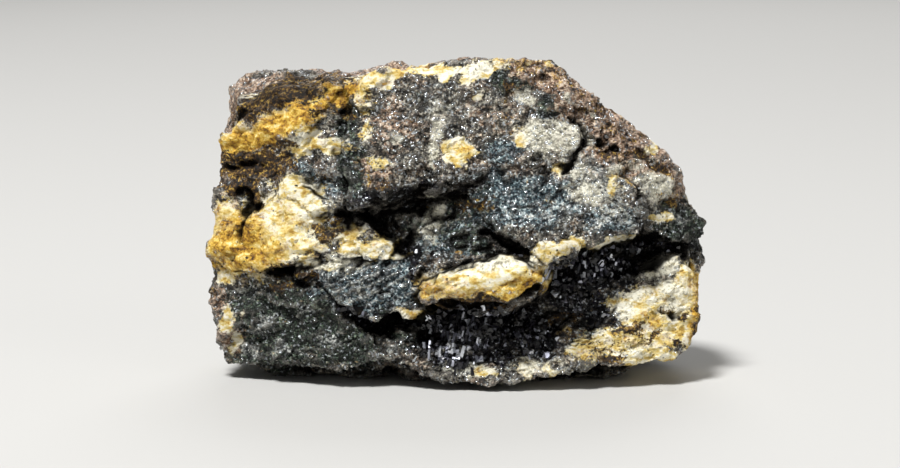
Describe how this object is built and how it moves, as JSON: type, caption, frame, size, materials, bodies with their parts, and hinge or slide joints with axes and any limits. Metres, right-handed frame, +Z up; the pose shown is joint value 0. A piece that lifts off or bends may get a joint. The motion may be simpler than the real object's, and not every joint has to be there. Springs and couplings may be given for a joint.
{
  "type": "sphalerite specimen",
  "caption": "Broken hand specimen of sphalerite ore in its rock, with stepped fracture faces, a pale vein bar, a crystal pocket and a flat resting spot.",
  "frame": {"origin": "on the ground plane, under the middle of the specimen's width and depth", "axes": "+X to the viewer's right along the longest side, +Y away from the viewer through the rock, +Z up from the resting spot"},
  "size_m": [0.0616, 0.036, 0.0398],
  "materials": {
    "ore_rock": "rough broken rock with glinting grains"
  },
  "bodies": {
    "root": {"sphalerite_specimen": "ore_rock"}
  },
  "joints": []
}
